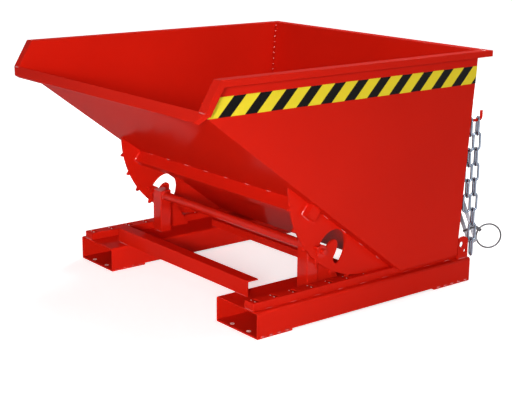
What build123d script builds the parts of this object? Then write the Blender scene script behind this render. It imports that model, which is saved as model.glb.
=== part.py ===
"""Forklift tipping hopper: a sheet-steel trough that rolls on toothed rockers over two fork pockets.

Millimetres, +Z up. The dump lip points to -Y, the fork carriage end to +Y, and +X is the right side.
While it is being drawn, y = 0 is the front end of the fork pockets and z = 0 is the floor.
At the end everything is moved along Y, so that the origin lies under the middle of the object.
"""
import os
from math import atan2, ceil, cos, hypot, radians, sin, sqrt, tan

from build123d import *

# Fork pockets and the plates under them; insets are measured inward from the pockets' outer side
BASE_INSET = 10.0
BASE_LENGTH = 916.0
POCKET_WIDTH = 200.0
POCKET_HEIGHT = 75.0
POCKET_WALL = 4.0
POCKET_CORNER = 8.0
FOOT_THICKNESS = 7.0
FOOT_EDGE = 3.0
FOOT_FRONT_LENGTH = 135.0
FOOT_REAR_LENGTH = 170.0
CASTOR_HOLE_RADIUS = 5.5
CASTOR_SPACING_X = 80.0
CASTOR_SPACING_Y = 105.0

# Toothed rails on the pockets and rockers under the trough
ROCKER_INSET = 44.0
ROCKER_THICKNESS = 8.0
ROLL_RADIUS = 323.0
ROLL_CENTRE_Y = 468.0
TIP_ANGLE = 66.0
ROLLING_GAP = 0.3
RAIL_WIDTH = 44.0
RAIL_HEIGHT = 24.0
RAIL_WALL = 4.0
RAIL_FRONT_Y = 3.0
RAIL_REAR_MARGIN = 36.0
TOOTH_COUNT = 7
TOOTH_FIRST_ANGLE = 1.0
TOOTH_PITCH_ANGLE = 12.9
TOOTH_HEIGHT = 11.0
TOOTH_BASE = 15.0
TOOTH_TIP = 5.0
TOOTH_ROOT = 5.0
TOOTH_PLAY = 1.0
TOOTH_SIDE_PLAY = 9.0

# Guide tube through the slots of the rockers, and its posts; shares are of the roll radius
GUIDE_TUBE_RADIUS = 15.0
GUIDE_TUBE_WALL = 4.0
GUIDE_AHEAD_SHARE = 0.5944
GUIDE_BELOW_SHARE = 0.6697
GUIDE_PLAY = 1.5
SLOT_STEPS = 14
COLLAR_RADIUS = 20.0
COLLAR_LENGTH = 4.0
COLLAR_PLAY = 3.0
PIN_RADIUS = 9.0
PIN_LENGTH = 15.0
PIN_CHAMFER = 1.5
WASHER_THICKNESS = 3.0
STOP_PIN_RADIUS = 5.0
STOP_PIN_AHEAD = 24.0
STOP_PIN_ABOVE = 16.0
STOP_PIN_INNER = 8.0
STOP_PIN_OUTER = 16.0
POST_WIDTH = 50.0
POST_DEPTH = 45.0
POST_WALL = 4.0
POST_INSET = 125.0
POST_TOP_LAND = 3.5
GUSSET_THICKNESS = 6.0
GUSSET_TOP_GAP = 12.0
GUSSET_TOP_LENGTH = 12.0
GUSSET_FOOT_LENGTH = 100.0

# Cross members between the pockets
FRONT_ANGLE_HEIGHT = 50.0
FRONT_ANGLE_DEPTH = 42.0
FRONT_ANGLE_WALL = 5.0
FRONT_ANGLE_Y = 68.0
FRONT_ANGLE_INSET = 136.0
REAR_BAR_HEIGHT = 25.0
REAR_BAR_DEPTH = 40.0
REAR_BAR_WALL = 4.0
REAR_BAR_Y = 447.0
REAR_BAR_INSET = 170.0

# Trough; shares are of the roll radius, and its rear is measured from the pockets' rear end
TROUGH_HALF_WIDTH = 510.0
SIDE_SHEET = 3.0
REAR_SHEET = 4.0
BOTTOM_SHEET = 4.0
CHUTE_SHEET = 3.0
CHUTE_ANGLE = 37.0
FLOOR_BEND_SHARE = 0.322
FLOOR_REAR_MARGIN = 79.0
REAR_WALL_LEAN = 53.0
RIM_Z = 784.0
RIM_FLANGE = 32.0
RIM_RETURN = 20.0
RIM_SHEET = 3.0
FRONT_TOP_Y = -164.0
FRONT_SLOPE = 58.8
LIP_FLANGE = 30.0
LIP_RETURN = 18.0
STIFFENER_SIZE = 40.0
STIFFENER_WALL = 3.0
STIFFENER_SHARE = 1.2415
STIFFENER_END_GAP = 25.0
STIFFENER_CAP = 4.0
PLUG_RADIUS = 6.0
RUNNING_CLEARANCE = 0.05
TAPE_HEIGHT = 56.0
TAPE_BELOW_RIM = 51.0
TAPE_THICKNESS = 0.4
TAPE_INSET = 4.0

# Latch: a slide bolt on the rear wall and its plate on the right pocket
PLATE_THICKNESS = 8.0
PLATE_INSET = 18.0
PLATE_LENGTH = 48.0
PLATE_HEIGHT = 74.0
PLATE_REAR_GAP = 3.0
PLATE_CORNER = 20.0
CHAIN_HOLE_RADIUS = 6.5
CHAIN_HOLE_FROM_REAR = 13.0
CHAIN_HOLE_HEIGHT = 24.0
BOLT_RADIUS = 7.0
BOLT_FROM_REAR = 34.0
BOLT_Z = 130.0
BOLT_TRAVEL = 20.0
BOLT_TIP_GAP = 4.0
BOLT_HOLE_PLAY = 3.2
BOLT_HEAD_LENGTH = 10.0
HOUSING_RADIUS = 13.0
HOUSING_LENGTH = 62.0
HOUSING_INSET = 32.0
HOUSING_CAP = 6.0
BRACKET_HALF_HEIGHT = 10.0

# Safety chain on its hook; Y places are measured back from the pockets' rear end
CHAIN_WIRE = 8.0
CHAIN_PITCH = 52.0
CHAIN_INNER_WIDTH = 14.0
CHAIN_GAP = 0.3
CHAIN_MAIN_LINKS = 9
CHAIN_END_LINKS = 6
HOOK_RADIUS = 5.0
HOOK_INSET = 14.0
HOOK_Z = 549.0
HOOK_BEND = 10.0
HOOK_TIP = 30.0
STRAND_MAIN_BEHIND = 16.0
STRAND_END_BEHIND = -18.0
HOOK_PAST_STRAND = 15.0
CHAIN_TWIST = -30.0

# Release cable, its hank and the pull ring; points are inset, distance behind the pockets, and height
CABLE_RADIUS = 2.5
HANK_LOOPS = 3
HANK_LAYER_STEP = 6.0
HANK_FIRST_BEHIND = 40.0
HANK_TOP_INSET = 148.0
HANK_TOP_Z = 326.0
HANK_TOP_RADIUS = 20.0
HANK_BOTTOM_INSET = 38.0
HANK_BOTTOM_Z = 132.0
HANK_BOTTOM_RADIUS = 15.0
HANK_LAST_RUN_SHARE = 0.42
LEAD_FIRST_RUN = 34.0
LEAD_POINTS = ((155.0, -22.0, 148.0), (160.0, -4.0, 185.0), (148.0, 14.0, 225.0), (132.0, 30.0, 255.0))
LEAD_LAST_RUN = 24.0
BEND_SHARE = 0.45
TAIL_RUN = 28.0
TIE_SHARE = 0.13
TIE_WIDTH = 6.0
TIE_THICKNESS = 1.4
TIE_GAP = 0.6
RING_RADIUS = 42.0
RING_WIRE_RADIUS = 3.0
RING_CENTRE = (27.0, 120.0, 130.0)
RING_PLANE_ANGLE = 51.6
RING_HOLD_ANGLE = 146.0
FERRULE_RADIUS = 6.0
FERRULE_LENGTH = 26.0
FERRULE_EYE = 8.0

# How far a cutting body reaches past the face that it opens
PAST = 1.0

# Sub-parts on the loose cable, which do not count for the place of the origin
CORD_NODES = ("cable_lead", "cable_hank", "cable_tail", "cable_tie", "cable_ferrule", "pull_ring")

# Values worked out from the driving dimensions
HALF_BASE = TROUGH_HALF_WIDTH - BASE_INSET
POCKET_MID_X = HALF_BASE - POCKET_WIDTH / 2
ROCKER_MID_X = HALF_BASE - ROCKER_INSET
POST_INNER_X = HALF_BASE - POST_INSET
PLATE_INNER_X = HALF_BASE - PLATE_INSET
HOUSING_OUTER_X = HALF_BASE - HOUSING_INSET
HOOK_X = HALF_BASE - HOOK_INSET
HANK_TOP_X = HALF_BASE - HANK_TOP_INSET
HANK_BOTTOM_X = HALF_BASE - HANK_BOTTOM_INSET
POCKET_TOP = FOOT_THICKNESS + POCKET_HEIGHT
RAIL_TOP = POCKET_TOP + RAIL_HEIGHT
TROUGH_BOTTOM = RAIL_TOP + ROLLING_GAP
ROLL_CENTRE_Z = TROUGH_BOTTOM + ROLL_RADIUS
CHUTE_UP = (-cos(radians(CHUTE_ANGLE)), sin(radians(CHUTE_ANGLE)))
CHUTE_UNDER = (-sin(radians(CHUTE_ANGLE)), -cos(radians(CHUTE_ANGLE)))
FRONT_DOWN = (-cos(radians(FRONT_SLOPE)), -sin(radians(FRONT_SLOPE)))
FRONT_BACK = (sin(radians(FRONT_SLOPE)), -cos(radians(FRONT_SLOPE)))
GUIDE_Y = ROLL_CENTRE_Y - GUIDE_AHEAD_SHARE * ROLL_RADIUS
GUIDE_Z = ROLL_CENTRE_Z - GUIDE_BELOW_SHARE * ROLL_RADIUS
BOTTOM_FRONT_Y = ROLL_CENTRE_Y + FLOOR_BEND_SHARE * ROLL_RADIUS
BOTTOM_REAR_Y = BASE_LENGTH - FLOOR_REAR_MARGIN
REAR_TOP_Y = BOTTOM_REAR_Y + REAR_WALL_LEAN
REAR_LEAN = REAR_WALL_LEAN / (RIM_Z - TROUGH_BOTTOM)
STIFFENER_FROM_CORNER = STIFFENER_SHARE * ROLL_RADIUS
BOLT_Y = BASE_LENGTH - BOLT_FROM_REAR
STRAND_MAIN_Y = BASE_LENGTH + STRAND_MAIN_BEHIND
STRAND_END_Y = BASE_LENGTH + STRAND_END_BEHIND
HANK_FIRST_Y = BASE_LENGTH + HANK_FIRST_BEHIND
BOTTOM_FRONT = (BOTTOM_FRONT_Y, TROUGH_BOTTOM)
BOTTOM_REAR = (BOTTOM_REAR_Y, TROUGH_BOTTOM)
REAR_TOP = (REAR_TOP_Y, RIM_Z)
FRONT_TOP = (FRONT_TOP_Y, RIM_Z)


def along(point, direction, distance):
    """A point in the YZ plane, moved along a direction."""
    return (point[0] + direction[0] * distance, point[1] + direction[1] * distance)


def crossing(point_a, direction_a, point_b, direction_b):
    """Where two lines of the YZ plane meet."""
    det = direction_a[0] * direction_b[1] - direction_a[1] * direction_b[0]
    dy = point_b[0] - point_a[0]
    dz = point_b[1] - point_a[1]
    return along(point_a, direction_a, (dy * direction_b[1] - dz * direction_b[0]) / det)


FRONT_BOTTOM = crossing(BOTTOM_FRONT, CHUTE_UP, FRONT_TOP, FRONT_DOWN)
SIDE_OUTLINE = [BOTTOM_FRONT, BOTTOM_REAR, REAR_TOP, FRONT_TOP, FRONT_BOTTOM]


def rear_face_y(z):
    """Outer face of the leaning rear wall at a height."""
    return BOTTOM_REAR_Y + REAR_LEAN * (z - TROUGH_BOTTOM)


def polygon(points):
    return make_face(Polyline(*points, close=True))


def slab(face, x_low, x_high):
    """A face drawn in the YZ plane, made solid between two X positions."""
    return extrude(Plane.YZ.offset(x_low) * face, amount=x_high - x_low)


def block(x, y, z):
    """A box from three pairs of limits."""
    size = (x[1] - x[0], y[1] - y[0], z[1] - z[0])
    return Pos((x[0] + x[1]) / 2, (y[0] + y[1]) / 2, (z[0] + z[1]) / 2) * Box(*size)


def rod_x(radius, x_low, x_high, y, z):
    return Pos((x_low + x_high) / 2, y, z) * Rot(0, 90, 0) * Cylinder(radius, x_high - x_low)


def rod_z(radius, x, y, z_low, z_high):
    return Pos(x, y, (z_low + z_high) / 2) * Cylinder(radius, z_high - z_low)


def left_of(part):
    return mirror(part, about=Plane.YZ)


def castor_centres():
    """Centres of the front and rear castor patterns along Y."""
    return (FOOT_FRONT_LENGTH / 2, BASE_LENGTH - FOOT_REAR_LENGTH / 2)


def castor_drills(y_centre, z_low, z_high):
    drills = []
    for sx in (-1, 1):
        for sy in (-1, 1):
            x = POCKET_MID_X + sx * CASTOR_SPACING_X / 2
            y = y_centre + sy * CASTOR_SPACING_Y / 2
            drills.append(rod_z(CASTOR_HOLE_RADIUS, x, y, z_low, z_high))
    return drills


def upper_edges(part):
    """Long edges of a part's top face."""
    return part.faces().sort_by(Axis.Z)[-1].edges().filter_by(Axis.Y)


def fork_pocket():
    """Folded channel, open at both ends; the foot plates close it below."""
    x = (HALF_BASE - POCKET_WIDTH, HALF_BASE)
    channel = block(x, (0, BASE_LENGTH), (FOOT_THICKNESS, POCKET_TOP))
    channel = fillet(upper_edges(channel), POCKET_CORNER)
    inner = block((x[0] + POCKET_WALL, x[1] - POCKET_WALL), (-PAST, BASE_LENGTH + PAST),
                  (FOOT_THICKNESS - PAST, POCKET_TOP - POCKET_WALL))
    return channel - fillet(upper_edges(inner), POCKET_CORNER - POCKET_WALL)


def foot_plate(y_low, y_high, y_centre):
    """Plate under a pocket's end: its floor, a foot, and the seat of a castor."""
    plate = block((HALF_BASE - POCKET_WIDTH, HALF_BASE), (y_low, y_high), (0, FOOT_THICKNESS))
    plate = fillet(plate.faces().sort_by(Axis.Z)[0].edges(), FOOT_EDGE)
    for drill in castor_drills(y_centre, -PAST, FOOT_THICKNESS + PAST):
        plate -= drill
    return plate


def tooth_angles():
    return [radians(TOOTH_FIRST_ANGLE + k * TOOTH_PITCH_ANGLE) for k in range(TOOTH_COUNT)]


def roll_rail():
    """Upturned channel with one slot for each tooth, closed at its front end."""
    x = (ROCKER_MID_X - RAIL_WIDTH / 2, ROCKER_MID_X + RAIL_WIDTH / 2)
    y = (RAIL_FRONT_Y, BASE_LENGTH - RAIL_REAR_MARGIN)
    rail = block(x, y, (POCKET_TOP, RAIL_TOP))
    rail -= block((x[0] + RAIL_WALL, x[1] - RAIL_WALL), (y[0] + RAIL_WALL, y[1] + PAST),
                  (POCKET_TOP - PAST, RAIL_TOP - RAIL_WALL))
    slot_half_x = ROCKER_THICKNESS / 2 + TOOTH_SIDE_PLAY
    slot_x = (ROCKER_MID_X - slot_half_x, ROCKER_MID_X + slot_half_x)
    slot_z = (RAIL_TOP - RAIL_WALL - PAST, RAIL_TOP + PAST)
    slot_half_y = TOOTH_BASE / 2 + TOOTH_PLAY
    for angle in tooth_angles():
        y_slot = ROLL_CENTRE_Y - ROLL_RADIUS * angle
        if y_slot - slot_half_y > y[0] + RAIL_WALL:
            rail -= block(slot_x, (y_slot - slot_half_y, y_slot + slot_half_y), slot_z)
    return rail


def angle_section(y, height, depth, wall):
    """Angle that stands on the pockets' tops, its upper leg pointing back."""
    top = POCKET_TOP + height
    return polygon([(y, POCKET_TOP), (y + wall, POCKET_TOP), (y + wall, top - wall), (y + depth, top - wall),
                    (y + depth, top), (y, top)])


def front_cross_angle():
    """Angle across the front, from rail to rail."""
    section = angle_section(FRONT_ANGLE_Y, FRONT_ANGLE_HEIGHT, FRONT_ANGLE_DEPTH, FRONT_ANGLE_WALL)
    half = HALF_BASE - FRONT_ANGLE_INSET
    return slab(section, -half, half)


def rear_cross_bar():
    """Lower angle across the middle, below the chute."""
    section = angle_section(REAR_BAR_Y, REAR_BAR_HEIGHT, REAR_BAR_DEPTH, REAR_BAR_WALL)
    half = HALF_BASE - REAR_BAR_INSET
    return slab(section, -half, half)


def guide_post():
    """Box post that carries one end of the guide tube."""
    top = GUIDE_Z + GUIDE_TUBE_RADIUS + POST_TOP_LAND
    x = (POST_INNER_X, POST_INNER_X + POST_WIDTH)
    y = (GUIDE_Y - POST_DEPTH / 2, GUIDE_Y + POST_DEPTH / 2)
    post = block(x, y, (POCKET_TOP, top))
    post = fillet(post.edges().filter_by(Axis.Z), POST_WALL)
    post -= block((x[0] + POST_WALL, x[1] - POST_WALL), (y[0] + POST_WALL, y[1] - POST_WALL),
                  (POCKET_TOP - PAST, top - POST_WALL))
    return post - rod_x(GUIDE_TUBE_RADIUS, x[0] - PAST, x[1] + PAST, GUIDE_Y, GUIDE_Z)


def guide_gusset():
    """Sloping plate behind a post, low enough for the tipping chute to pass over it."""
    top = GUIDE_Z + GUIDE_TUBE_RADIUS + POST_TOP_LAND - GUSSET_TOP_GAP
    rear = GUIDE_Y + POST_DEPTH / 2
    outline = polygon([(rear, POCKET_TOP), (rear + GUSSET_FOOT_LENGTH, POCKET_TOP),
                       (rear + GUSSET_TOP_LENGTH, top), (rear, top)])
    x_high = POST_INNER_X + POST_WIDTH - 2 * POST_WALL
    return slab(outline, x_high - GUSSET_THICKNESS, x_high)


def guide_half_length():
    return ROCKER_MID_X + ROCKER_THICKNESS / 2 + COLLAR_PLAY


def guide_tube():
    half = guide_half_length()
    bar = rod_x(GUIDE_TUBE_RADIUS, -half, half, GUIDE_Y, GUIDE_Z)
    bore = GUIDE_TUBE_RADIUS - GUIDE_TUBE_WALL
    return bar - rod_x(bore, -half - PAST, half + PAST, GUIDE_Y, GUIDE_Z)


def guide_collar():
    """Disc with a pin that closes the tube's end and keeps the rocker from walking off it."""
    x_low = guide_half_length()
    pin = rod_x(PIN_RADIUS, x_low, x_low + COLLAR_LENGTH + PIN_LENGTH, GUIDE_Y, GUIDE_Z)
    pin = chamfer(pin.faces().sort_by(Axis.X)[-1].edges(), PIN_CHAMFER)
    return pin + rod_x(COLLAR_RADIUS, x_low, x_low + COLLAR_LENGTH, GUIDE_Y, GUIDE_Z)


def guide_washer():
    """Ring on the tube at the inner side of a rocker."""
    x_high = ROCKER_MID_X - ROCKER_THICKNESS / 2 - COLLAR_PLAY
    x_low = x_high - WASHER_THICKNESS
    washer = rod_x(COLLAR_RADIUS, x_low, x_high, GUIDE_Y, GUIDE_Z)
    return washer - rod_x(GUIDE_TUBE_RADIUS, x_low - PAST, x_high + PAST, GUIDE_Y, GUIDE_Z)


def stop_pin():
    """Round pin through a rocker, ahead of the slot's lower end."""
    x_low = ROCKER_MID_X - ROCKER_THICKNESS / 2 - STOP_PIN_INNER
    x_high = ROCKER_MID_X + ROCKER_THICKNESS / 2 + STOP_PIN_OUTER
    return rod_x(STOP_PIN_RADIUS, x_low, x_high, GUIDE_Y - STOP_PIN_AHEAD, GUIDE_Z + STOP_PIN_ABOVE)


def latch_plate():
    """Rounded lug on the right pocket with the bolt's hole and a hole for the chain."""
    y_high = BASE_LENGTH - PLATE_REAR_GAP
    y_low = y_high - PLATE_LENGTH
    top = POCKET_TOP + PLATE_HEIGHT
    plate = block((PLATE_INNER_X, PLATE_INNER_X + PLATE_THICKNESS), (y_low, y_high), (POCKET_TOP, top))
    plate = fillet(plate.faces().sort_by(Axis.Z)[-1].edges().filter_by(Axis.X), PLATE_CORNER)
    drill = (PLATE_INNER_X - PAST, PLATE_INNER_X + PLATE_THICKNESS + PAST)
    plate -= rod_x(BOLT_RADIUS + BOLT_HOLE_PLAY, *drill, BOLT_Y, BOLT_Z)
    hole = (y_high - CHAIN_HOLE_FROM_REAR, POCKET_TOP + CHAIN_HOLE_HEIGHT)
    return plate - rod_x(CHAIN_HOLE_RADIUS, *drill, *hole)


def front_strip(depth):
    """Band of a given depth behind the sloping front edge of a side wall."""
    low = along(FRONT_BOTTOM, FRONT_DOWN, RIM_Z)
    high = along(FRONT_TOP, FRONT_DOWN, -RIM_Z)
    return polygon([low, high, along(high, FRONT_BACK, depth), along(low, FRONT_BACK, depth)])


def rim_band(depth):
    """The strip of a side wall's outline that the folded rim covers."""
    top = polygon([(FRONT_TOP_Y - RIM_Z, RIM_Z - depth), (REAR_TOP_Y + RIM_Z, RIM_Z - depth),
                   (REAR_TOP_Y + RIM_Z, RIM_Z), (FRONT_TOP_Y - RIM_Z, RIM_Z)])
    return polygon(SIDE_OUTLINE) & (top + front_strip(depth))


def side_wall():
    """Side sheet with its rim folded outward along the top and the front edge."""
    outer = TROUGH_HALF_WIDTH
    wall = slab(polygon(SIDE_OUTLINE), outer - SIDE_SHEET, outer)
    wall += slab(rim_band(RIM_SHEET), outer - SIDE_SHEET, outer + RIM_FLANGE)
    wall += slab(rim_band(RIM_RETURN), outer + RIM_FLANGE - RIM_SHEET, outer + RIM_FLANGE)
    hole = PLUG_RADIUS + RUNNING_CLEARANCE
    return wall - rod_x(hole, outer - SIDE_SHEET - PAST, outer + PAST, ROLL_CENTRE_Y, ROLL_CENTRE_Z)


def roll_centre_plug():
    """Flush round plug in the side sheet, on the axis that the rockers roll about."""
    return rod_x(PLUG_RADIUS, TROUGH_HALF_WIDTH - SIDE_SHEET, TROUGH_HALF_WIDTH, ROLL_CENTRE_Y, ROLL_CENTRE_Z)


def rear_wall():
    """Leaning rear sheet with its rim folded out over the whole width."""
    inner = TROUGH_HALF_WIDTH - SIDE_SHEET
    wall = slab(polygon([BOTTOM_REAR, REAR_TOP, (REAR_TOP_Y - REAR_SHEET, RIM_Z),
                         (BOTTOM_REAR_Y - REAR_SHEET, TROUGH_BOTTOM)]), -inner, inner)
    half = TROUGH_HALF_WIDTH + RIM_FLANGE
    outer = REAR_TOP_Y + RIM_FLANGE
    low = RIM_Z - RIM_RETURN
    under = RIM_Z - RIM_SHEET
    rim = polygon([(rear_face_y(under), under), (outer, under), (outer, RIM_Z), REAR_TOP])
    wall += slab(rim, -half, half)
    wall += block((-half, half), (outer - RIM_SHEET, outer), (low, RIM_Z))
    end = polygon([(rear_face_y(low), low), (outer, low), (outer, RIM_Z), REAR_TOP])
    wall += slab(end, half - RIM_SHEET, half)
    return wall + slab(end, -half, RIM_SHEET - half)


def bottom_sheet():
    """Flat floor of the trough, which lies on the rails at rest."""
    inner = TROUGH_HALF_WIDTH - SIDE_SHEET
    lean = REAR_LEAN * BOTTOM_SHEET
    rear = BOTTOM_REAR_Y - REAR_SHEET
    section = polygon([BOTTOM_FRONT, (rear, TROUGH_BOTTOM), (rear + lean, TROUGH_BOTTOM + BOTTOM_SHEET),
                       bend_line()])
    return slab(section, -inner, inner)


def bend_line():
    """Inner end of the bend between the flat floor and the chute."""
    return along(BOTTOM_FRONT, (tan(radians(CHUTE_ANGLE / 2)), 1), BOTTOM_SHEET)


def chute_sheet():
    """Sloping floor up to the dump lip."""
    inner = TROUGH_HALF_WIDTH - SIDE_SHEET
    top_line = along(BOTTOM_FRONT, CHUTE_UNDER, -CHUTE_SHEET)
    bend = (bend_line()[0] - BOTTOM_FRONT[0], bend_line()[1] - BOTTOM_FRONT[1])
    rear_top = crossing(top_line, CHUTE_UP, BOTTOM_FRONT, bend)
    front_top = crossing(top_line, CHUTE_UP, FRONT_TOP, FRONT_DOWN)
    sheet = slab(polygon([BOTTOM_FRONT, rear_top, front_top, FRONT_BOTTOM]), -inner, inner)
    return sheet + dump_lip()


def dump_lip():
    """Edge folded down from the chute and back again, with mitred ends below the side rims."""
    front = Plane(origin=(0, *FRONT_BOTTOM), x_dir=(1, 0, 0), z_dir=(0, *FRONT_BACK))
    outer = TROUGH_HALF_WIDTH + RIM_FLANGE
    slant = RIM_FLANGE / LIP_FLANGE

    def outline(inset):
        """Lip seen from the front, measured down from the chute, its folded sides moved in."""
        low = LIP_FLANGE - inset
        half_top = outer - inset * hypot(1, slant)
        half_low = half_top - slant * low
        return polygon([(-half_top, 0), (half_top, 0), (half_low, low), (-half_low, low)])

    lip = extrude(front * outline(0), amount=LIP_RETURN)
    lip -= extrude(front.offset(RIM_SHEET) * outline(RIM_SHEET), amount=LIP_RETURN)
    near = along(FRONT_BOTTOM, CHUTE_UP, LIP_RETURN)
    far = along(FRONT_BOTTOM, CHUTE_UP, -2 * LIP_RETURN)
    above = [near, far, along(far, CHUTE_UNDER, -LIP_RETURN), along(near, CHUTE_UNDER, -LIP_RETURN)]
    return lip - slab(polygon(above), -outer, outer)


def stiffener_frame():
    """Corner of the stiffener on the chute's underside, nearest to the floor."""
    return along(BOTTOM_FRONT, CHUTE_UP, STIFFENER_FROM_CORNER)


def stiffener_section(wall):
    near = along(along(stiffener_frame(), CHUTE_UP, wall), CHUTE_UNDER, wall)
    size = STIFFENER_SIZE - 2 * wall
    far = along(near, CHUTE_UP, size)
    return polygon([near, far, along(far, CHUTE_UNDER, size), along(near, CHUTE_UNDER, size)])


def chute_stiffener():
    """Square tube welded across the chute's underside."""
    half = TROUGH_HALF_WIDTH - STIFFENER_END_GAP
    bar = slab(stiffener_section(0), -half, half)
    return bar - slab(stiffener_section(STIFFENER_WALL), -half - PAST, half + PAST)


def stiffener_cap():
    """Square plate that closes the stiffener's end."""
    half = TROUGH_HALF_WIDTH - STIFFENER_END_GAP
    return slab(stiffener_section(STIFFENER_WALL), half - STIFFENER_CAP, half)


def roll_point(angle, radius):
    """Point of the rocker at an angle from straight down towards the front."""
    return (ROLL_CENTRE_Y - radius * sin(angle), ROLL_CENTRE_Z - radius * cos(angle))


def slot_centre(tip):
    """Where the fixed guide tube sits in the rocker once the trough has rolled by an angle."""
    vy = GUIDE_Y - ROLL_CENTRE_Y + ROLL_RADIUS * tip
    vz = GUIDE_Z - ROLL_CENTRE_Z
    return (ROLL_CENTRE_Y + vy * cos(tip) + vz * sin(tip), ROLL_CENTRE_Z - vy * sin(tip) + vz * cos(tip))


def slot_heading(tip):
    """Unit direction in which the tube moves along the slot."""
    vy = GUIDE_Y - ROLL_CENTRE_Y + ROLL_RADIUS * tip
    rise = ROLL_RADIUS + GUIDE_Z - ROLL_CENTRE_Z
    length = hypot(rise, vy)
    return ((rise * cos(tip) - vy * sin(tip)) / length, (-rise * sin(tip) - vy * cos(tip)) / length)


def guide_slot():
    """Curved slot, the path of the guide tube with play on both sides and round ends."""
    half = GUIDE_TUBE_RADIUS + GUIDE_PLAY
    tips = [radians(TIP_ANGLE) * k / SLOT_STEPS for k in range(SLOT_STEPS + 1)]
    sides = ([], [])
    for tip in tips:
        heading = slot_heading(tip)
        for side, sign in zip(sides, (1, -1)):
            side.append(along(slot_centre(tip), (-heading[1] * sign, heading[0] * sign), half))
    start = along(slot_centre(tips[0]), slot_heading(tips[0]), -half)
    end = along(slot_centre(tips[-1]), slot_heading(tips[-1]), half)
    outline = [Spline(*sides[0]), ThreePointArc(sides[0][-1], end, sides[1][-1]),
               Spline(*reversed(sides[1])), ThreePointArc(sides[1][0], start, sides[0][0])]
    return make_face(outline)


def rocker():
    """Rocker plate: rolling edge with teeth, guide slot, and a notch for the stiffener."""
    dy = BOTTOM_FRONT_Y - ROLL_CENTRE_Y
    dz = TROUGH_BOTTOM - ROLL_CENTRE_Z
    half_b = dy * CHUTE_UP[0] + dz * CHUTE_UP[1]
    reach = -half_b + sqrt(half_b**2 - dy**2 - dz**2 + ROLL_RADIUS**2)
    front = along(BOTTOM_FRONT, CHUTE_UP, reach)
    front_angle = atan2(ROLL_CENTRE_Y - front[0], ROLL_CENTRE_Z - front[1])
    foot = roll_point(0, ROLL_RADIUS)
    face = make_face([Line(foot, BOTTOM_FRONT), Line(BOTTOM_FRONT, front),
                      ThreePointArc(front, roll_point(front_angle / 2, ROLL_RADIUS), foot)])
    root = ROLL_RADIUS - TOOTH_ROOT
    base = TOOTH_BASE / 2 / ROLL_RADIUS
    for angle in tooth_angles():
        tip = roll_point(angle, ROLL_RADIUS + TOOTH_HEIGHT)
        across = (cos(angle) * TOOTH_TIP / 2, -sin(angle) * TOOTH_TIP / 2)
        face += polygon([roll_point(angle - base, ROLL_RADIUS), along(tip, across, 1), along(tip, across, -1),
                         roll_point(angle + base, ROLL_RADIUS), roll_point(angle + base, root),
                         roll_point(angle - base, root)])
    face -= guide_slot()
    face -= stiffener_section(0)
    return slab(face, ROCKER_MID_X - ROCKER_THICKNESS / 2, ROCKER_MID_X + ROCKER_THICKNESS / 2) - stop_pin()


def hazard_tape():
    """Adhesive warning strip along the outside of a side wall, below the rim."""
    top = RIM_Z - TAPE_BELOW_RIM
    band = polygon([(FRONT_TOP_Y - RIM_Z, top - TAPE_HEIGHT), (REAR_TOP_Y + RIM_Z, top - TAPE_HEIGHT),
                    (REAR_TOP_Y + RIM_Z, top), (FRONT_TOP_Y - RIM_Z, top)])
    band = (band & polygon(SIDE_OUTLINE)) - front_strip(RIM_SHEET + TAPE_INSET)
    return slab(band, TROUGH_HALF_WIDTH, TROUGH_HALF_WIDTH + TAPE_THICKNESS)


def latch_housing():
    """Bolt tube with a closed inner end, on a bracket welded to the rear wall."""
    x = (HOUSING_OUTER_X - HOUSING_LENGTH, HOUSING_OUTER_X)
    low = BOLT_Z - BRACKET_HALF_HEIGHT
    high = BOLT_Z + BRACKET_HALF_HEIGHT
    web = polygon([(rear_face_y(low), low), (BOLT_Y, low), (BOLT_Y, high), (rear_face_y(high), high)])
    housing = slab(web, *x) + rod_x(HOUSING_RADIUS, *x, BOLT_Y, BOLT_Z)
    return housing - rod_x(BOLT_RADIUS + RUNNING_CLEARANCE, x[0] + HOUSING_CAP, x[1] + PAST, BOLT_Y, BOLT_Z)


def latch_bolt():
    """Slide bolt, drawn back at rest; its nose enters the plate's hole when it slides out."""
    x_low = HOUSING_OUTER_X - HOUSING_LENGTH + HOUSING_CAP + ROLLING_GAP
    x_high = PLATE_INNER_X - BOLT_TIP_GAP
    bolt = rod_x(BOLT_RADIUS, x_low, x_high, BOLT_Y, BOLT_Z)
    return chamfer(bolt.faces().sort_by(Axis.X)[-1].edges(), BOLT_RADIUS / 4)


def chain_link():
    """One long link in the XZ plane, its middle at the origin."""
    bend = (CHAIN_INNER_WIDTH + CHAIN_WIRE) / 2
    half_run = (CHAIN_PITCH - CHAIN_INNER_WIDTH) / 2
    path = Wire([Line((bend, 0, -half_run), (bend, 0, half_run)),
                 ThreePointArc((bend, 0, half_run), (0, 0, half_run + bend), (-bend, 0, half_run)),
                 Line((-bend, 0, half_run), (-bend, 0, -half_run)),
                 ThreePointArc((-bend, 0, -half_run), (0, 0, -half_run - bend), (bend, 0, -half_run))])
    return sweep(Pos(bend, 0, -half_run) * Circle(CHAIN_WIRE / 2), path=path)


def chain_strand(y, count):
    """Links that hang from the hook, each turned a quarter from the one above."""
    link = chain_link()
    step = CHAIN_PITCH - CHAIN_GAP
    first = HOOK_Z + HOOK_RADIUS + CHAIN_GAP - CHAIN_PITCH / 2
    turns = [CHAIN_TWIST + 90 * (k % 2) for k in range(count)]
    places = [Pos(HOOK_X, y, first - k * step) * Rot(0, 0, turn) for k, turn in enumerate(turns)]
    return Compound(children=[place * link for place in places])


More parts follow.
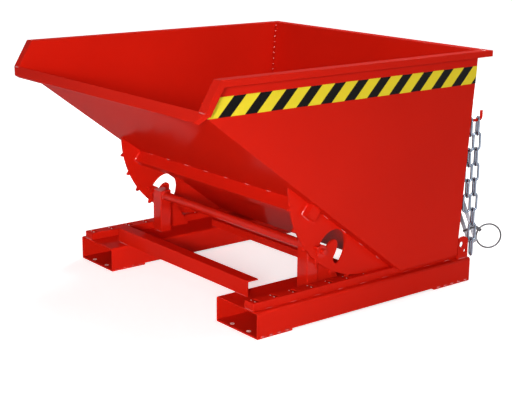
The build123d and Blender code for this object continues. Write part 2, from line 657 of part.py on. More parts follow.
def wall_hook(x, y_end, z):
    """Round bar from the rear wall with an upturned end."""
    y_start = rear_face_y(z - HOOK_RADIUS)
    path = FilletPolyline((x, y_start, z), (x, y_end, z), (x, y_end, z + HOOK_TIP), radius=HOOK_BEND)
    bar = sweep(Plane(origin=(x, y_start, z), z_dir=(0, 1, 0)) * Circle(HOOK_RADIUS), path=path)
    behind = polygon([(rear_face_y(0), 0), (rear_face_y(RIM_Z), RIM_Z), (0, RIM_Z), (0, 0)])
    return bar - slab(behind, x - HOOK_TIP, x + HOOK_TIP)


def cable_hook():
    """Hook whose bar lies just under the hank's upper bends."""
    z = HANK_TOP_Z + HANK_TOP_RADIUS - CABLE_RADIUS - HOOK_RADIUS - ROLLING_GAP
    return wall_hook(HANK_TOP_X, hank_layer_y(HANK_LOOPS) + HOOK_PAST_STRAND, z)


def hank_layer_y(layer):
    return HANK_FIRST_Y + layer * HANK_LAYER_STEP


def hank_frame():
    """Direction of the hank, the direction across it, and the sine of the taper of its runs."""
    dx = HANK_TOP_X - HANK_BOTTOM_X
    dz = HANK_TOP_Z - HANK_BOTTOM_Z
    length = hypot(dx, dz)
    up = Vector(dx / length, 0, dz / length)
    across = Vector(up.Z, 0, -up.X)
    return up, across, (HANK_TOP_RADIUS - HANK_BOTTOM_RADIUS) / length


def hank_point(end, side, layer):
    """Where a run meets a bend: end is top or bottom, side is +1 on the right and -1 on the left."""
    up, across, taper = hank_frame()
    outward = across * (side * sqrt(1 - taper**2)) - up * taper
    y = hank_layer_y(layer)
    if end == "top":
        return Vector(HANK_TOP_X, y, HANK_TOP_Z) + outward * HANK_TOP_RADIUS
    return Vector(HANK_BOTTOM_X, y, HANK_BOTTOM_Z) + outward * HANK_BOTTOM_RADIUS


def hank_bend(end, layer):
    """Half turn of one loop, flat in its layer."""
    up = hank_frame()[0]
    y = hank_layer_y(layer)
    if end == "top":
        middle = Vector(HANK_TOP_X, y, HANK_TOP_Z) + up * HANK_TOP_RADIUS
        return ThreePointArc(hank_point("top", -1, layer), middle, hank_point("top", 1, layer))
    middle = Vector(HANK_BOTTOM_X, y, HANK_BOTTOM_Z) - up * HANK_BOTTOM_RADIUS
    return ThreePointArc(hank_point("bottom", 1, layer), middle, hank_point("bottom", -1, layer))


def hank_climb(layer):
    """Left run from one layer to the next, as two gentle arcs."""
    low = hank_point("bottom", -1, layer)
    high = hank_point("top", -1, layer + 1)
    heading = (hank_point("top", -1, layer) - low).normalized()
    middle = (low + high) / 2
    return [TangentArc(low, middle, tangent=heading), TangentArc(high, middle, tangent=-heading)]


def hank_start():
    """Start of the hank, one cable diameter below its first upper bend, and its heading."""
    top = hank_point("top", -1, 0)
    heading = (top - hank_point("bottom", -1, 0)).normalized()
    return top - heading * (2 * CABLE_RADIUS), heading


def hank_end():
    """End of the hank, part of the way down its last right run, and its heading."""
    top = hank_point("top", 1, HANK_LOOPS)
    run = hank_point("bottom", 1, HANK_LOOPS) - top
    return top + run * HANK_LAST_RUN_SHARE, run.normalized()


def hank_path():
    start = hank_start()[0]
    edges = [Line(start, hank_point("top", -1, 0))]
    for layer in range(HANK_LOOPS):
        edges.append(hank_bend("top", layer))
        edges.append(Line(hank_point("top", 1, layer), hank_point("bottom", 1, layer)))
        edges.append(hank_bend("bottom", layer))
        edges += hank_climb(layer)
    edges.append(hank_bend("top", HANK_LOOPS))
    edges.append(Line(hank_point("top", 1, HANK_LOOPS), hank_end()[0]))
    return Wire(edges)


def least_self_gap(path):
    """Smallest space between two turns of a tube, measured on points along its path."""
    count = ceil(path.length / CABLE_RADIUS)
    points = [path.position_at(k / count) for k in range(count + 1)]
    apart = ceil(4 * HANK_BOTTOM_RADIUS / CABLE_RADIUS)
    nearest = min((a - b).length for k, a in enumerate(points) for b in points[k + apart:])
    return nearest - 2 * CABLE_RADIUS


def tube(path, heading):
    section = Plane(origin=path.position_at(0), z_dir=heading) * Circle(CABLE_RADIUS)
    return sweep(section, path=path)


def cable_hank():
    """Loops of the release cable, hung over their hook, as one unbroken tube."""
    path = hank_path()
    print(f"cable hank: length {path.length:.0f} mm, least gap to itself {least_self_gap(path):.2f} mm")
    return tube(path, hank_start()[1])


def behind(point):
    """A point given by its inset, its distance behind the pockets' rear end, and its height."""
    return Vector(HALF_BASE - point[0], BASE_LENGTH + point[1], point[2])


def routed_cable(name, points):
    """Cable along straight runs joined by tangent arcs, each as large as its runs allow."""
    runs = [b - a for a, b in zip(points, points[1:])]
    radii = []
    for before, after in zip(runs, runs[1:]):
        turn = radians(before.get_angle(after))
        radii.append(BEND_SHARE * min(before.length, after.length) / tan(turn / 2))
    path = FilletPolyline(*points, radius=radii)
    print(f"{name}: length {path.length:.0f} mm, radii {[round(r) for r in radii]}")
    return tube(path, runs[0].normalized())


def cable_lead():
    """Cable from the closed end of the bolt housing up to the hank."""
    end, heading = hank_start()
    exit_point = Vector(HOUSING_OUTER_X - HOUSING_LENGTH, BOLT_Y, BOLT_Z)
    first = exit_point - Vector(LEAD_FIRST_RUN, 0, 0)
    points = [exit_point, first] + [behind(p) for p in LEAD_POINTS] + [end - heading * LEAD_LAST_RUN, end]
    return routed_cable("cable lead", points)


def ring_frame():
    """Plane of the pull ring, and the point where the ferrule holds it."""
    angle = radians(RING_PLANE_ANGLE)
    sideways = Vector(cos(angle), sin(angle), 0)
    centre = behind(RING_CENTRE)
    plane = Plane(origin=centre, x_dir=sideways, z_dir=(sin(angle), -cos(angle), 0))
    hold = radians(RING_HOLD_ANGLE)
    outward = sideways * cos(hold) + Vector(0, 0, 1) * sin(hold)
    return plane, centre + outward * RING_RADIUS, -outward


def pull_ring():
    return ring_frame()[0] * Torus(RING_RADIUS, RING_WIRE_RADIUS)


def ferrule_start():
    _, hold, inward = ring_frame()
    return hold - inward * (FERRULE_LENGTH - FERRULE_EYE)


def cable_ferrule():
    """Crimped sleeve on the cable's end with an eye for the ring."""
    plane, _, inward = ring_frame()
    section = Plane(origin=ferrule_start(), z_dir=inward) * Circle(FERRULE_RADIUS)
    sleeve = extrude(section, amount=FERRULE_LENGTH)
    return sleeve - plane * Torus(RING_RADIUS, RING_WIRE_RADIUS + ROLLING_GAP)


def cable_tail():
    """Free end of the cable from the hank to its ferrule."""
    start, heading = hank_end()
    end = ferrule_start()
    inward = ring_frame()[2]
    return routed_cable("cable tail", [start, start + heading * TAIL_RUN, end - inward * TAIL_RUN, end])


def cable_tie():
    """Band that draws the loops together above their lower bends."""
    up, across, taper = hank_frame()
    height = TIE_SHARE * hypot(HANK_TOP_X - HANK_BOTTOM_X, HANK_TOP_Z - HANK_BOTTOM_Z)
    half = (HANK_BOTTOM_RADIUS + height * taper) / sqrt(1 - taper**2) + CABLE_RADIUS + TIE_GAP
    depth = (HANK_LOOPS - 1) * HANK_LAYER_STEP + 2 * CABLE_RADIUS + 2 * TIE_GAP
    middle = Vector(HANK_BOTTOM_X, hank_layer_y((HANK_LOOPS - 1) / 2), HANK_BOTTOM_Z) + up * height
    inner = RectangleRounded(2 * half, depth, CABLE_RADIUS)
    band = offset(inner, TIE_THICKNESS) - inner
    return extrude(Plane(origin=middle, x_dir=across, z_dir=up) * band, amount=TIE_WIDTH)


def build_nodes():
    """Every sub-part by its name, in the drawing frame."""
    front_centre, rear_centre = castor_centres()
    pairs = {
        "fork_pocket": fork_pocket(),
        "foot_plate_front": foot_plate(0, FOOT_FRONT_LENGTH, front_centre),
        "foot_plate_rear": foot_plate(BASE_LENGTH - FOOT_REAR_LENGTH, BASE_LENGTH, rear_centre),
        "roll_rail": roll_rail(),
        "guide_post": guide_post(),
        "guide_gusset": guide_gusset(),
        "guide_collar": guide_collar(),
        "guide_washer": guide_washer(),
        "roll_centre_plug": roll_centre_plug(),
        "side_wall": side_wall(),
        "rocker": rocker(),
        "stop_pin": stop_pin(),
        "stiffener_cap": stiffener_cap(),
        "hazard_tape": hazard_tape(),
    }
    nodes = {}
    for name, part in pairs.items():
        nodes[name + "_right"] = part
        nodes[name + "_left"] = left_of(part)
    nodes.update({
        "front_cross_angle": front_cross_angle(),
        "rear_cross_bar": rear_cross_bar(),
        "guide_tube": guide_tube(),
        "latch_plate": latch_plate(),
        "rear_wall": rear_wall(),
        "bottom_sheet": bottom_sheet(),
        "chute_sheet": chute_sheet(),
        "chute_stiffener": chute_stiffener(),
        "latch_housing": latch_housing(),
        "latch_bolt": latch_bolt(),
        "chain_hook": wall_hook(HOOK_X, STRAND_MAIN_Y + HOOK_PAST_STRAND, HOOK_Z),
        "chain_main_strand": chain_strand(STRAND_MAIN_Y, CHAIN_MAIN_LINKS),
        "chain_end_strand": chain_strand(STRAND_END_Y, CHAIN_END_LINKS),
        "cable_hook": cable_hook(),
        "cable_lead": cable_lead(),
        "cable_hank": cable_hank(),
        "cable_tail": cable_tail(),
        "cable_tie": cable_tie(),
        "cable_ferrule": cable_ferrule(),
        "pull_ring": pull_ring(),
    })
    return nodes


def main():
    os.makedirs("parts", exist_ok=True)
    nodes = build_nodes()
    boxes = [part.bounding_box() for name, part in nodes.items() if name not in CORD_NODES]
    middle = (min(b.min.Y for b in boxes) + max(b.max.Y for b in boxes)) / 2
    for name, part in nodes.items():
        export_step(Pos(0, -middle, 0) * part, f"parts/{name}.step")
    print(f"origin lies {middle:.3f} mm behind the pockets' front end; roll axis at "
          f"y {ROLL_CENTRE_Y - middle:.3f}, z {ROLL_CENTRE_Z:.3f}")


main()
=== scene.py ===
"""Dressed scene of a forklift tipping hopper: paint, weld beads, warning tape, chain and cable.

Places of the part's drawing are in millimetres, and place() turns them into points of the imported
model, in metres. Every other length is in metres.
"""

from math import asin, ceil, cos, pi, radians, sin
from random import Random

import bmesh
import bpy
from mathutils import Matrix, Vector

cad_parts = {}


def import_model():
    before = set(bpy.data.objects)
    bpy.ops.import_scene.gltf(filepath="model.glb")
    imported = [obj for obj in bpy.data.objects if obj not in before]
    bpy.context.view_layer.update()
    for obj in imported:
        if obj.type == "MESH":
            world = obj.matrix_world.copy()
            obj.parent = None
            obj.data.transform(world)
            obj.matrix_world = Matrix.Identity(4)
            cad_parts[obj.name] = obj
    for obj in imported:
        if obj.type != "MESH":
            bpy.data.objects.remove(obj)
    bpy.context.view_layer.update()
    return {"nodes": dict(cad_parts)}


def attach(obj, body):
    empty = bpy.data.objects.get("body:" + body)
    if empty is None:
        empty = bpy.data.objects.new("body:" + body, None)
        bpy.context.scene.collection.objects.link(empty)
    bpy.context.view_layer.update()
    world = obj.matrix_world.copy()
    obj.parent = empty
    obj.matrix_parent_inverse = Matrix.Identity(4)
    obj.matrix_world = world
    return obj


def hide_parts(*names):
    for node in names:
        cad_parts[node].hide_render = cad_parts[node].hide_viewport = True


MM = 0.001
SHIFT_Y = -0.381639


def place(x, y, z):
    """A point of the part's drawing, in the frame of the model."""
    return Vector((x * MM, y * MM + SHIFT_Y, z * MM))


# Trough, as places of the part's drawing
TROUGH_INNER_X = 507.0
TROUGH_OUTER_X = 510.0
RIM_OUTER_X = 542.0
RIM_Z = 784.0
TROUGH_BOTTOM = 106.3
FLOOR_TOP = 110.3
FLOOR_FRONT_Y = 572.0
REAR_BOTTOM_Y = 837.0
REAR_LEAN = 53.0 / 677.7
REAR_SHEET = 4.0
CHUTE_ANGLE = radians(37.0)
CHUTE_LENGTH = 985.7
CHUTE_SHEET = 3.0
ROCKER_FACES_X = (452.0, 460.0)
STIFFENER_AT = 401.0
STIFFENER_SIZE = 40.0
STIFFENER_SEAM_X = 440
CHAIN_HOOK_XZ = (486, 549)
CABLE_HOOK_XZ = (352, 338.2)
LATCH_HOUSING_X = (408, 466)
LATCH_HOUSING_Z = (120, 140)

# Base, as places of the part's drawing
POCKET_TOP = 82.0
POCKET_SIDES_X = (300, 500)
FOOT_TOP = 7.0
FOOT_SEAMS_Y = ((4, 131), (750, 912))
FOOT_CENTRES_Y = (67.5, 831.0)
CASTOR_HOLES = [(x, y) for x in (360, 440) for y in (-52.5, 52.5)]
RAIL_SIDES_X = (434, 478)
RAIL_FRONT_SEAM_Y = 3
RAIL_SIDE_SEAM_Y = (12, 872)
RAIL_TOP = 106.0
ROLL_CENTRE_Y = 468
ROLLING_RADIUS = 323
TEETH_DEGREES = [1.0 + 12.9 * k for k in range(7)]
RAIL_SLOTS_Y = [ROLL_CENTRE_Y - ROLLING_RADIUS * radians(turn) for turn in TEETH_DEGREES]
RAIL_SLOT_HALF = 8.5
RAIL_SLOT_ENDS_X = ((443.5, 450.5), (461.5, 468.5))
CROSS_SEAM_START_X = 302
CROSS_SEAM_ENDS_XY = ((362, 68), (328, 447))
GUIDE_TUBE_YZ = (276.0, 213.0)
POST_X = (375, 425)
POST_HALF_DEPTH = 22.5
POST_CHAMFER = 4
GUSSET_FACES_X = (411, 417)
GUSSET_FOOT_DEPTHS = (26, 118)
GUSSET_UPRIGHT_Z = (90, 212)
LATCH_PLATE_FACES_X = (482, 490)
LATCH_PLATE_Y = (866, 912)

# Weld beads, and the beads of pink metal that paint highlights on edges: radius, length and pitch
BEAD = 3.0 * MM
SMALL_BEAD = 2.0 * MM
MITRE_BEAD = 1.2 * MM
CORNER_SPOT = 6.0 * MM
CORNER_SPOT_LENGTH = 8 * MM
CORNER_SPOT_PITCH = 21 * MM
STITCH = 26 * MM
SHORT_STITCH = 16 * MM
ROCKER_PITCH = 88 * MM
STIFFENER_PITCH = 110 * MM
RAIL_PITCH = 96 * MM
FOOT_PITCH = 30 * MM
GUSSET_FOOT_PITCH = 46 * MM
GUSSET_UPRIGHT_PITCH = 60 * MM
HOOK_RADIUS = 5 * MM
GUIDE_TUBE_RADIUS = 15 * MM
CASTOR_HOLE_RADIUS = 6 * MM
GLINT_BEAD = 2.2 * MM
HOLE_GLINT_BEAD = 0.7 * GLINT_BEAD

# How far beads keep from ends and corners, in the drawing's millimetres
CORNER_INSET = 3.5
RIM_MARGIN = 2
CHUTE_MARGIN = 4
ROCKER_SEAM_START = 20
ROCKER_SEAM_MARGIN = 6
GLINT_BEAD_SINK = 0.8

# Rounding of edges
FOLD_ROUNDING = 1.4 * MM
CUT_ROUNDING = 0.8 * MM

# Release cable: lead from the latch, loops over the hook, tail to the ferrule on the pull ring
CABLE_RADIUS = 2.5 * MM
LEAD_ROUTE = [place(406, 882, 130), place(372, 882, 130), place(345, 894, 148),
              place(340, 912, 185), place(352, 930, 225), place(368, 946, 255)]
HANK_LOOPS = 3
HANK_STEP = 6 * MM
HANK_FIRST = place(0, 956, 0).y
HANK_TOP = Vector((352 * MM, 0, 326 * MM))
HANK_TOP_RADIUS = 20 * MM
HANK_BOTTOM = Vector((462 * MM, 0, 132 * MM))
HANK_BOTTOM_RADIUS = 15 * MM
BEND_POINTS = 6
RING_CENTRE = place(473, 1036, 130)
RING_PLANE = radians(51.6)
RING_HOLD = radians(146.0)
RING_TO_FERRULE_END = 60 * MM
TAIL_RUN = 28 * MM

# Colours, as linear light
RED = (0.640, 0.0130, 0.0048)
RED_DEEP = (0.600, 0.0115, 0.0042)
TAPE_YELLOW = (0.820, 0.660, 0.030)
TAPE_YELLOW_WORN = (0.55, 0.42, 0.03)
TAPE_BLACK = (0.003, 0.003, 0.003)
TAPE_BLACK_WORN = (0.02, 0.02, 0.02)
ZINC = (0.225, 0.262, 0.325)
STEEL = (0.120, 0.120, 0.130)
# Pale pink metal of the painted highlights on the rails' slot edges and the castor hole rims
GLINT_PINK = (0.950, 0.680, 0.660)
CABLE_GREY = (0.470, 0.480, 0.540)
TIE_BLACK = (0.020, 0.020, 0.022)
TIE_BLACK_WORN = (0.05, 0.05, 0.052)
FLOOR_WHITE = (0.900, 0.900, 0.900)

# Warning tape: stripes that lean back, measured along the wall at the tape's mid height
STRIPE_PERIOD = 92 * MM
STRIPE_START = -124 * MM
STRIPE_MID_Z = 705 * MM
STRIPE_LEAN = 0.98
STRIPE_BLACK_SHARE = 0.465

# Strands of the cable: bands in its whole length, and their slant round it
STRAND_BANDS = 320.0
STRAND_SLANT = 6.0

# Floor and surround
FLOOR_HALF = 14.0
FLOOR_LIFT_NEAR = 0.64
FLOOR_LIFT_FAR = 0.95
FLOOR_LIFT_REACH = (0.75, 2.0)
DOME_LIGHT = 0.12

# Camera of the photograph
CAMERA_PLACE = (2.99615, -2.00191 + SHIFT_Y, 1.26104)
CAMERA_AZIMUTH = radians(51.61)
CAMERA_ELEVATION = radians(14.45)
CAMERA_ROLL = radians(0.47)
CAMERA_LENS = 82.27
CAMERA_SENSOR = 36.0
CAMERA_SHIFT = (0.0078, -0.0124)
CAMERA_FAR = 100.0


def both_sides(*names):
    """The names of the right and the left piece of each pair."""
    return [name + side for name in names for side in ("_right", "_left")]


# Nodes by what covers them; every other node gets the paint
TAPES = both_sides("hazard_tape")
CHAINS = ["chain_main_strand", "chain_end_strand"]
STEELS = ["latch_bolt", "cable_ferrule", "pull_ring"]
CABLES = ["cable_lead", "cable_hank", "cable_tail"]
TIES = ["cable_tie"]
BARS = both_sides("guide_post", "guide_collar", "guide_washer", "stop_pin") + ["guide_tube"]

# Nodes by how their edges are rounded
FOLDED = both_sides("side_wall") + ["rear_wall", "chute_sheet"]
CUT = both_sides("roll_rail", "rocker", "guide_post", "guide_gusset", "guide_collar",
                 "guide_washer", "stop_pin", "foot_plate_front", "foot_plate_rear", "fork_pocket")
CUT += ["front_cross_angle", "rear_cross_bar", "chute_stiffener", "latch_plate", "latch_housing"]


class Shader:
    """A node material, put together from a principled shader."""

    def __init__(self, name):
        self.material = bpy.data.materials.new(name)
        self.material.use_nodes = True
        self.tree = self.material.node_tree
        self.surface = self.tree.nodes["Principled BSDF"]
        self.coords = self.tree.nodes.new("ShaderNodeTexCoord")

    def link(self, value, socket):
        """Joins a socket, or sets a plain value."""
        if isinstance(value, bpy.types.NodeSocket):
            self.tree.links.new(value, socket)
        else:
            socket.default_value = value

    def set(self, **values):
        """Inputs of the principled shader by name, with _ for a space."""
        for name, value in values.items():
            if isinstance(value, tuple) and len(value) == 3:
                value = (*value, 1.0)
            self.link(value, self.surface.inputs[name.replace("_", " ")])

    def noise(self, scale, detail=2.0, roughness=0.5):
        node = self.tree.nodes.new("ShaderNodeTexNoise")
        self.link(self.coords.outputs["Object"], node.inputs["Vector"])
        node.inputs["Scale"].default_value = scale
        node.inputs["Detail"].default_value = detail
        node.inputs["Roughness"].default_value = roughness
        return node.outputs["Fac"]

    def math(self, operation, a, b=0.0):
        node = self.tree.nodes.new("ShaderNodeMath")
        node.operation = operation
        for value, socket in zip((a, b), node.inputs):
            self.link(value, socket)
        return node.outputs[0]

    def spread(self, value, low, high, from_low=0.3, from_high=0.7):
        """Stretches a value between two limits."""
        node = self.tree.nodes.new("ShaderNodeMapRange")
        self.link(value, node.inputs["Value"])
        node.inputs["From Min"].default_value = from_low
        node.inputs["From Max"].default_value = from_high
        node.inputs["To Min"].default_value = low
        node.inputs["To Max"].default_value = high
        return node.outputs["Result"]

    def mix(self, factor, a, b):
        """Two colours, blended."""
        node = self.tree.nodes.new("ShaderNodeMix")
        node.data_type = "RGBA"
        self.link(factor, node.inputs["Factor"])
        for colour, name in ((a, "A"), (b, "B")):
            if isinstance(colour, tuple):
                colour = (*colour, 1.0)
            socket = [s for s in node.inputs if s.name == name and s.type == "RGBA"][0]
            self.link(colour, socket)
        return [s for s in node.outputs if s.type == "RGBA"][0]

    def axis(self, name, source="Object"):
        node = self.tree.nodes.new("ShaderNodeSeparateXYZ")
        self.link(self.coords.outputs[source], node.inputs[0])
        return node.outputs[name]

    def bump(self, height, strength, distance, normal=None):
        node = self.tree.nodes.new("ShaderNodeBump")
        node.inputs["Strength"].default_value = strength
        node.inputs["Distance"].default_value = distance
        self.link(height, node.inputs["Height"])
        if normal is not None:
            self.link(normal, node.inputs["Normal"])
        self.link(node.outputs["Normal"], self.surface.inputs["Normal"])
        return node.outputs["Normal"]


def darker(colour, share):
    return tuple(share * c for c in colour)


def red_paint(name, gloss, coat_ior=1.5):
    """Enamel: slow change of tone, fine orange peel, and the faint waves of thin sheet."""
    s = Shader(name)
    tone = s.spread(s.noise(scale=2.2, detail=4.0), 0.0, 1.0)
    s.set(Base_Color=s.mix(tone, RED_DEEP, RED))
    s.set(Roughness=s.spread(s.noise(scale=34.0, detail=3.0), 0.24, 0.34))
    s.set(Specular_IOR_Level=0.0, Coat_Weight=gloss, Coat_Roughness=0.12, Coat_IOR=coat_ior)
    waves = s.bump(s.noise(scale=3.0, detail=1.0), strength=0.04, distance=2 * MM)
    s.bump(s.noise(scale=420.0, detail=2.0), strength=0.03, distance=0.1 * MM, normal=waves)
    return s.material


def hazard_tape():
    """Yellow tape with slanted black stripes, a little wear and a fine woven backing."""
    s = Shader("hazard_tape_film")
    lean = s.math("MULTIPLY", s.math("SUBTRACT", s.axis("Z"), STRIPE_MID_Z), STRIPE_LEAN)
    along = s.math("SUBTRACT", s.math("SUBTRACT", s.axis("Y"), lean), STRIPE_START + SHIFT_Y)
    phase = s.math("FRACT", s.math("DIVIDE", along, STRIPE_PERIOD))
    black = s.math("LESS_THAN", phase, STRIPE_BLACK_SHARE)
    patches = s.noise(scale=90.0, detail=6.0, roughness=0.7)
    worn = s.spread(patches, 0.0, 0.10, from_low=0.45, from_high=0.75)
    yellow = s.mix(worn, TAPE_YELLOW, TAPE_YELLOW_WORN)
    dark = s.mix(worn, TAPE_BLACK, TAPE_BLACK_WORN)
    s.set(Base_Color=s.mix(black, yellow, dark))
    s.set(Roughness=s.spread(s.noise(scale=60.0, detail=4.0), 0.26, 0.40))
    s.set(Specular_IOR_Level=0.06)
    s.bump(s.noise(scale=900.0, detail=1.0), strength=0.06, distance=0.1 * MM)
    return s.material


def bare_metal(name, colour, roughness, grain):
    """Metal with blotches of tone and a fine grain."""
    s = Shader(name)
    blotches = s.spread(s.noise(scale=130.0, detail=5.0, roughness=0.6), 0.0, 1.0)
    s.set(Base_Color=s.mix(blotches, darker(colour, 0.72), colour), Metallic=1.0)
    s.set(Roughness=s.spread(s.noise(scale=grain, detail=4.0), roughness, roughness + 0.16))
    s.bump(s.noise(scale=grain * 2, detail=3.0), strength=0.15, distance=0.1 * MM)
    return s.material


def cable_sheath():
    """Steel cable under a clear sheath: the lay of its strands shows as slanted bands."""
    s = Shader("cable_clear_sheath")
    along = s.math("MULTIPLY", s.axis("X", "UV"), STRAND_BANDS)
    phase = s.math("ADD", along, s.math("MULTIPLY", s.axis("Y", "UV"), STRAND_SLANT))
    strands = s.math("ABSOLUTE", s.math("SINE", s.math("MULTIPLY", phase, pi)))
    s.set(Base_Color=s.mix(strands, darker(CABLE_GREY, 0.45), CABLE_GREY), Metallic=0.35)
    s.set(Roughness=s.spread(s.noise(scale=200.0), 0.22, 0.36))
    s.set(Coat_Weight=0.6, Coat_Roughness=0.1)
    s.bump(strands, strength=0.25, distance=0.3 * MM)
    return s.material


def nylon():
    """Black plastic of the cable tie."""
    s = Shader("black_nylon")
    s.set(Base_Color=s.mix(s.noise(scale=300.0, detail=3.0), TIE_BLACK, TIE_BLACK_WORN))
    s.set(Roughness=s.spread(s.noise(scale=250.0), 0.38, 0.55))
    s.bump(s.noise(scale=700.0), strength=0.15, distance=0.1 * MM)
    return s.material


def dress(nodes, names, material):
    """Puts one material on each of the named nodes."""
    for name in names:
        slots = nodes[name].data.materials
        slots.clear()
        slots.append(material)


def round_edges(obj, width, merge_flat=False):
    """Rounds a solid's sharp edges a little, so that they catch the light. Large flat sheets have
    their triangles merged first, because thin ones would shade as dark slivers."""
    weld = obj.modifiers.new("join", "WELD")
    weld.merge_threshold = 0.005 * MM
    if merge_flat:
        flat = obj.modifiers.new("flat_faces", "DECIMATE")
        flat.decimate_type = "DISSOLVE"
        flat.angle_limit = radians(0.05)
    bevel = obj.modifiers.new("edges", "BEVEL")
    bevel.width = width
    bevel.segments = 2
    bevel.limit_method = "ANGLE"
    bevel.angle_limit = radians(32)
    bevel.harden_normals = True


class Beads:
    """Beads of weld, or of bright metal that paints highlights, on one body, gathered in a single
    mesh.
    """

    RIPPLE = 5.5 * MM
    RIPPLE_DEPTH = 0.22
    RINGS_PER_RIPPLE = 3
    FEWEST_RINGS = 6
    SIDES = 8
    END_SIZE = 0.25
    END_GROWTH = 3.0
    SIZE_SPREAD = (0.93, 1.05)
    LENGTH_SPREAD = (0.85, 1.15)

    def __init__(self, seed):
        self.bm = bmesh.new()
        self.random = Random(seed)

    def straight(self, start, end, radius):
        """A rippled bead between two points, with thin ends."""
        run = end - start
        heading = run.normalized()
        side = heading.orthogonal().normalized()
        other = heading.cross(side)
        ripples = ceil(run.length / self.RIPPLE)
        count = max(self.FEWEST_RINGS, ripples * self.RINGS_PER_RIPPLE)
        rings = []
        for k in range(count + 1):
            share = k / count
            ripple = 1.0 - self.RIPPLE_DEPTH * ((k % self.RINGS_PER_RIPPLE) / self.RINGS_PER_RIPPLE)
            taper = min(1.0, self.END_GROWTH * share + self.END_SIZE,
                        self.END_GROWTH * (1 - share) + self.END_SIZE)
            r = radius * ripple * taper * self.random.uniform(*self.SIZE_SPREAD)
            centre = start + run * share
            ring = []
            for j in range(self.SIDES):
                turn = 2 * pi * j / self.SIDES
                corner = centre + side * (r * cos(turn)) + other * (r * sin(turn))
                ring.append(self.bm.verts.new(corner))
            rings.append(ring)
        for a, b in zip(rings, rings[1:]):
            for j in range(self.SIDES):
                self.bm.faces.new((a[j], a[j - 1], b[j - 1], b[j]))
        self.bm.faces.new(rings[0])
        self.bm.faces.new(reversed(rings[-1]))

    def bead(self, points, radius):
        """A bead along a line of points, half sunk in the corner that it fills."""
        for start, end in zip(points, points[1:]):
            self.straight(start, end, radius)

    def stitches(self, seam, radius, length, pitch):
        """Short beads at a steady pitch along a straight seam."""
        start, end = seam
        run = end - start
        count = max(1, round(run.length / pitch))
        for k in range(count):
            middle = start + run * ((k + 0.5) / count)
            half = run.normalized() * (length / 2 * self.random.uniform(*self.LENGTH_SPREAD))
            self.straight(middle - half, middle + half, radius)

    def ring(self, centre, axis, radius, bead_radius, sides=16):
        """A bead round a bar or a hole."""
        axis = Vector(axis)
        side = axis.orthogonal().normalized()
        other = axis.cross(side)
        turns = [2 * pi * k / sides for k in range(sides + 1)]
        points = [centre + side * (radius * cos(t)) + other * (radius * sin(t)) for t in turns]
        self.bead(points, bead_radius)

    def finish(self, name, body, material):
        """Makes the gathered beads a piece that rides on a body."""
        mesh = bpy.data.meshes.new(name)
        self.bm.normal_update()
        self.bm.to_mesh(mesh)
        self.bm.free()
        mesh.polygons.foreach_set("use_smooth", [True] * len(mesh.polygons))
        obj = bpy.data.objects.new(name, mesh)
        bpy.context.collection.objects.link(obj)
        mesh.materials.append(material)
        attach(obj, body)


def chute(x, up, under=0.0):
    """A point up the chute from its lower bend, and a distance below the sheet's underside."""
    y = FLOOR_FRONT_Y - cos(CHUTE_ANGLE) * up - sin(CHUTE_ANGLE) * under
    return place(x, y, TROUGH_BOTTOM + sin(CHUTE_ANGLE) * up - cos(CHUTE_ANGLE) * under)


def rear_face(x, z, inside=0.0):
    """A point on the outer face of the leaning rear wall, or inside of it."""
    return place(x, REAR_BOTTOM_Y + REAR_LEAN * (z - TROUGH_BOTTOM) - inside, z)


def trough_welds(material):
    """Seams of the trough's sheets, its rockers, stiffener, hooks and latch housing."""
    welds = Beads(seed=11)
    ends_x = (-TROUGH_INNER_X, TROUGH_INNER_X)
    welds.bead([rear_face(x, FLOOR_TOP, REAR_SHEET) for x in ends_x], BEAD)
    stiffener_sides = (STIFFENER_AT, STIFFENER_AT + STIFFENER_SIZE)
    low, high = stiffener_sides
    stiffener_corners = [(low, 0), (low, STIFFENER_SIZE), (high, STIFFENER_SIZE), (high, 0)]
    for side in (1, -1):
        inner = side * TROUGH_INNER_X
        corner_x, corner_depth = inner - side * CORNER_INSET, REAR_SHEET + CORNER_INSET
        corner = [rear_face(corner_x, z, corner_depth) for z in (RIM_Z - RIM_MARGIN, FLOOR_TOP)]
        welds.stitches(corner, CORNER_SPOT, CORNER_SPOT_LENGTH, CORNER_SPOT_PITCH)
        floor_rear = rear_face(inner, FLOOR_TOP, REAR_SHEET)
        welds.bead([floor_rear, place(inner, FLOOR_FRONT_Y, FLOOR_TOP)], BEAD)
        chute_ends = (CHUTE_MARGIN, CHUTE_LENGTH - CHUTE_MARGIN)
        welds.bead([chute(inner, up, -CHUTE_SHEET) for up in chute_ends], BEAD)
        rim = (side * TROUGH_OUTER_X, side * (RIM_OUTER_X - RIM_MARGIN))
        welds.bead([chute(x, CHUTE_LENGTH) for x in rim], SMALL_BEAD)
        welds.bead([rear_face(x, RIM_Z) for x in rim], MITRE_BEAD)
        for x in ROCKER_FACES_X:
            rocker_ends = (ROCKER_SEAM_START, STIFFENER_AT - ROCKER_SEAM_MARGIN)
            welds.stitches([chute(side * x, up) for up in rocker_ends], BEAD, STITCH, ROCKER_PITCH)
            welds.bead([chute(side * x, up, under) for up, under in stiffener_corners], BEAD)
    for up in stiffener_sides:
        seam = [chute(x, up) for x in (-STIFFENER_SEAM_X, STIFFENER_SEAM_X)]
        welds.stitches(seam, BEAD, STITCH, STIFFENER_PITCH)
    for hook in (CHAIN_HOOK_XZ, CABLE_HOOK_XZ):
        welds.ring(rear_face(*hook), (0, 1, 0), HOOK_RADIUS, SMALL_BEAD)
    for z in LATCH_HOUSING_Z:
        welds.bead([rear_face(x, z) for x in LATCH_HOUSING_X], SMALL_BEAD)
    welds.finish("trough_weld_beads", "trough", material)


def post_outline():
    """Corners of a guide post's foot, as x and y, back to the first one."""
    y, _ = GUIDE_TUBE_YZ
    (left, right), front, rear = POST_X, y - POST_HALF_DEPTH, y + POST_HALF_DEPTH
    cut = POST_CHAMFER
    return [(left + cut, front), (right - cut, front), (right, front + cut), (right, rear - cut),
            (right - cut, rear), (left + cut, rear), (left, rear - cut), (left, front + cut),
            (left + cut, front)]


